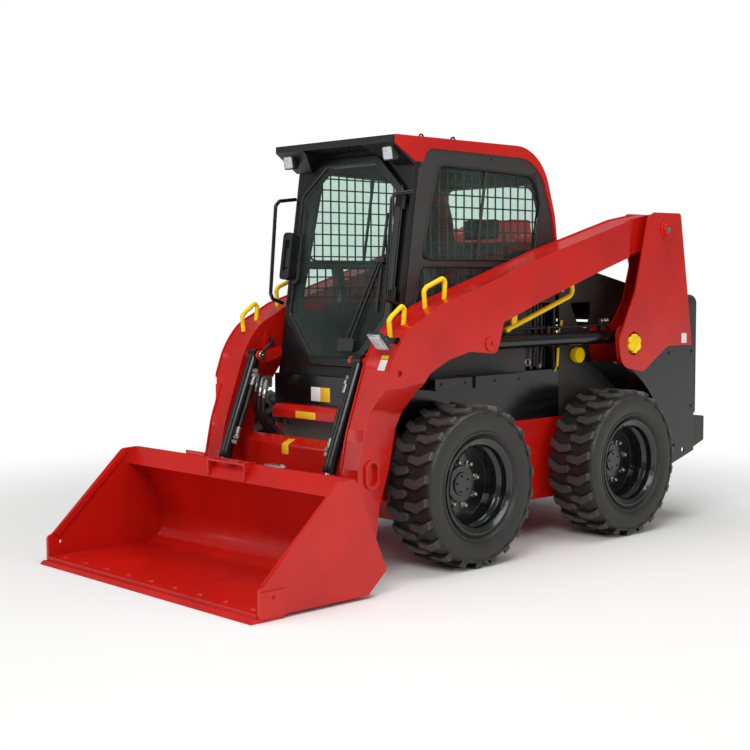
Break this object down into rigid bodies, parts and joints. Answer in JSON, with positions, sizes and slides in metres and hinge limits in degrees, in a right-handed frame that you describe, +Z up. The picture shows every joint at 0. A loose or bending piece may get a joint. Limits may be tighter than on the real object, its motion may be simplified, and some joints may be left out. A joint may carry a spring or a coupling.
{
  "type": "skid steer loader",
  "caption": "Compact wheeled loader with an enclosed cab between two lift arms, a wide front bucket, lug tyres, and hinged door and tailgate.",
  "frame": {"origin": "on the floor, under the middle of the machine's bounding box", "axes": "+Z up; the bucket faces -Y; +X is the machine's left side"},
  "size_m": [1.645, 3.45, 2.067],
  "materials": {
    "red_paint": "gloss red enamel",
    "dark_grey_paint": "satin dark grey enamel",
    "black_paint": "satin black enamel",
    "yellow_paint": "gloss yellow enamel",
    "grey_plastic": "lamp body and lens",
    "cast_iron": "cast and painted",
    "chromed_rod": "hard chrome",
    "glass": "green tinted safety glass",
    "seat_cover": "black vinyl",
    "tyre": "black rubber"
  },
  "bodies": {
    "chassis": {"frame_tub": "red_paint", "axle_housings": "black_paint", "body_deck": "black_paint", "front_step": "red_paint", "side_sills": "black_paint", "engine_bay_sides": "dark_grey_paint", "engine_block": "cast_iron", "hood": "dark_grey_paint", "rear_frame": "black_paint", "side_skirts": "dark_grey_paint", "rear_arches": "black_paint", "bumper": "dark_grey_paint", "tower_left": "red_paint", "tower_right": "red_paint", "tower_caps": "yellow_paint", "fuel_cap": "yellow_paint", "cab_front": "black_paint", "cab_side_left": "dark_grey_paint", "cab_side_right": "dark_grey_paint", "cab_rear": "black_paint", "cab_floor": "black_paint", "cab_roof": "red_paint", "roof_visor": "black_paint", "roof_lamps": "grey_plastic", "cab_glass": "glass", "seat": "seat_cover", "front_cover": "dark_grey_paint", "hood_rails": "yellow_paint", "bay_rails": "black_paint", "headliner": "black_paint", "lifting_eyes": "black_paint", "window_guards": "black_paint", "control_levers": "black_paint", "grab_bars": "black_paint"},
    "cab_door": {"door_frame": "black_paint", "door_glass": "glass", "door_latch": "black_paint", "wiper": "black_paint"},
    "tailgate": {"tailgate": "dark_grey_paint"},
    "boom": {"boom_arm_left": "red_paint", "boom_arm_right": "red_paint", "boom_cross_tube": "red_paint", "boom_handles": "yellow_paint", "work_lamp": "grey_plastic", "safety_strut": "yellow_paint"},
    "bucket_carrier": {"coupler": "black_paint", "bucket": "red_paint", "cutting_edge": "red_paint"},
    "lift_barrels": {"lift_barrels": "black_paint"},
    "lift_rods": {"lift_rods": "chromed_rod"},
    "tilt_barrels": {"tilt_barrels": "black_paint"},
    "tilt_rods": {"tilt_rods": "chromed_rod"},
    "wheel_front_left": {"tyre_front_left": "tyre", "rim_front_left": "black_paint"},
    "wheel_front_right": {"tyre_front_right": "tyre", "rim_front_right": "black_paint"},
    "wheel_rear_left": {"tyre_rear_left": "tyre", "rim_rear_left": "black_paint"},
    "wheel_rear_right": {"tyre_rear_right": "tyre", "rim_rear_right": "black_paint"}
  },
  "joints": [
    {"name": "boom_lift", "type": "hinge", "parent": "chassis", "child": "boom", "pos_m": [0, 1.313, 1.625], "axis": [-1, 0, 0], "range_deg": [0, 67]},
    {"name": "bucket_tilt", "type": "hinge", "parent": "boom", "child": "bucket_carrier", "pos_m": [0, -0.862, 0.22], "axis": [1, 0, 0], "range_deg": [-25, 70]},
    {"name": "lift_barrel_pivot", "type": "hinge", "parent": "chassis", "child": "lift_barrels", "pos_m": [0, 1.048, 1.05], "axis": [-1, 0, 0], "range_deg": [0, 63.72]},
    {"name": "lift_rod_slide", "type": "slide", "parent": "lift_barrels", "child": "lift_rods", "axis": [0, -1, -0.0009], "range_m": [0, 0.6944]},
    {"name": "tilt_barrel_pivot", "type": "hinge", "parent": "boom", "child": "tilt_barrels", "pos_m": [0, -0.734, 0.985], "axis": [1, 0, 0], "range_deg": [-0.75, 0.3]},
    {"name": "tilt_rod_slide", "type": "slide", "parent": "tilt_barrels", "child": "tilt_rods", "axis": [0, -0.3678, -0.9299], "range_m": [-0.0659, 0.1838]},
    {"name": "cab_door_hinge", "type": "hinge", "parent": "chassis", "child": "cab_door", "pos_m": [0.405, -0.5185, 1.385], "axis": [0, 0.1435, 0.9897], "range_deg": [0, 90]},
    {"name": "tailgate_hinge", "type": "hinge", "parent": "chassis", "child": "tailgate", "pos_m": [-0.588, 1.703, 0.9], "axis": [0, 0, 1], "range_deg": [0, 100]},
    {"name": "wheel_front_left_spin", "type": "hinge", "parent": "chassis", "child": "wheel_front_left", "pos_m": [0.6075, -0.282, 0.388], "axis": [1, 0, 0], "continuous": true},
    {"name": "wheel_front_right_spin", "type": "hinge", "parent": "chassis", "child": "wheel_front_right", "pos_m": [-0.6075, -0.282, 0.388], "axis": [1, 0, 0], "continuous": true},
    {"name": "wheel_rear_left_spin", "type": "hinge", "parent": "chassis", "child": "wheel_rear_left", "pos_m": [0.6075, 0.903, 0.388], "axis": [1, 0, 0], "continuous": true},
    {"name": "wheel_rear_right_spin", "type": "hinge", "parent": "chassis", "child": "wheel_rear_right", "pos_m": [-0.6075, 0.903, 0.388], "axis": [1, 0, 0], "continuous": true}
  ],
  "couplings": [
    {"joint": "lift_barrel_pivot", "follows": "boom_lift", "ratio": 0.9509},
    {"joint": "lift_rod_slide", "follows": "boom_lift", "m_per_rad": 0.5934},
    {"joint": "tilt_barrel_pivot", "follows": "bucket_tilt", "ratio": -0.01},
    {"joint": "tilt_rod_slide", "follows": "bucket_tilt", "m_per_rad": 0.15}
  ]
}
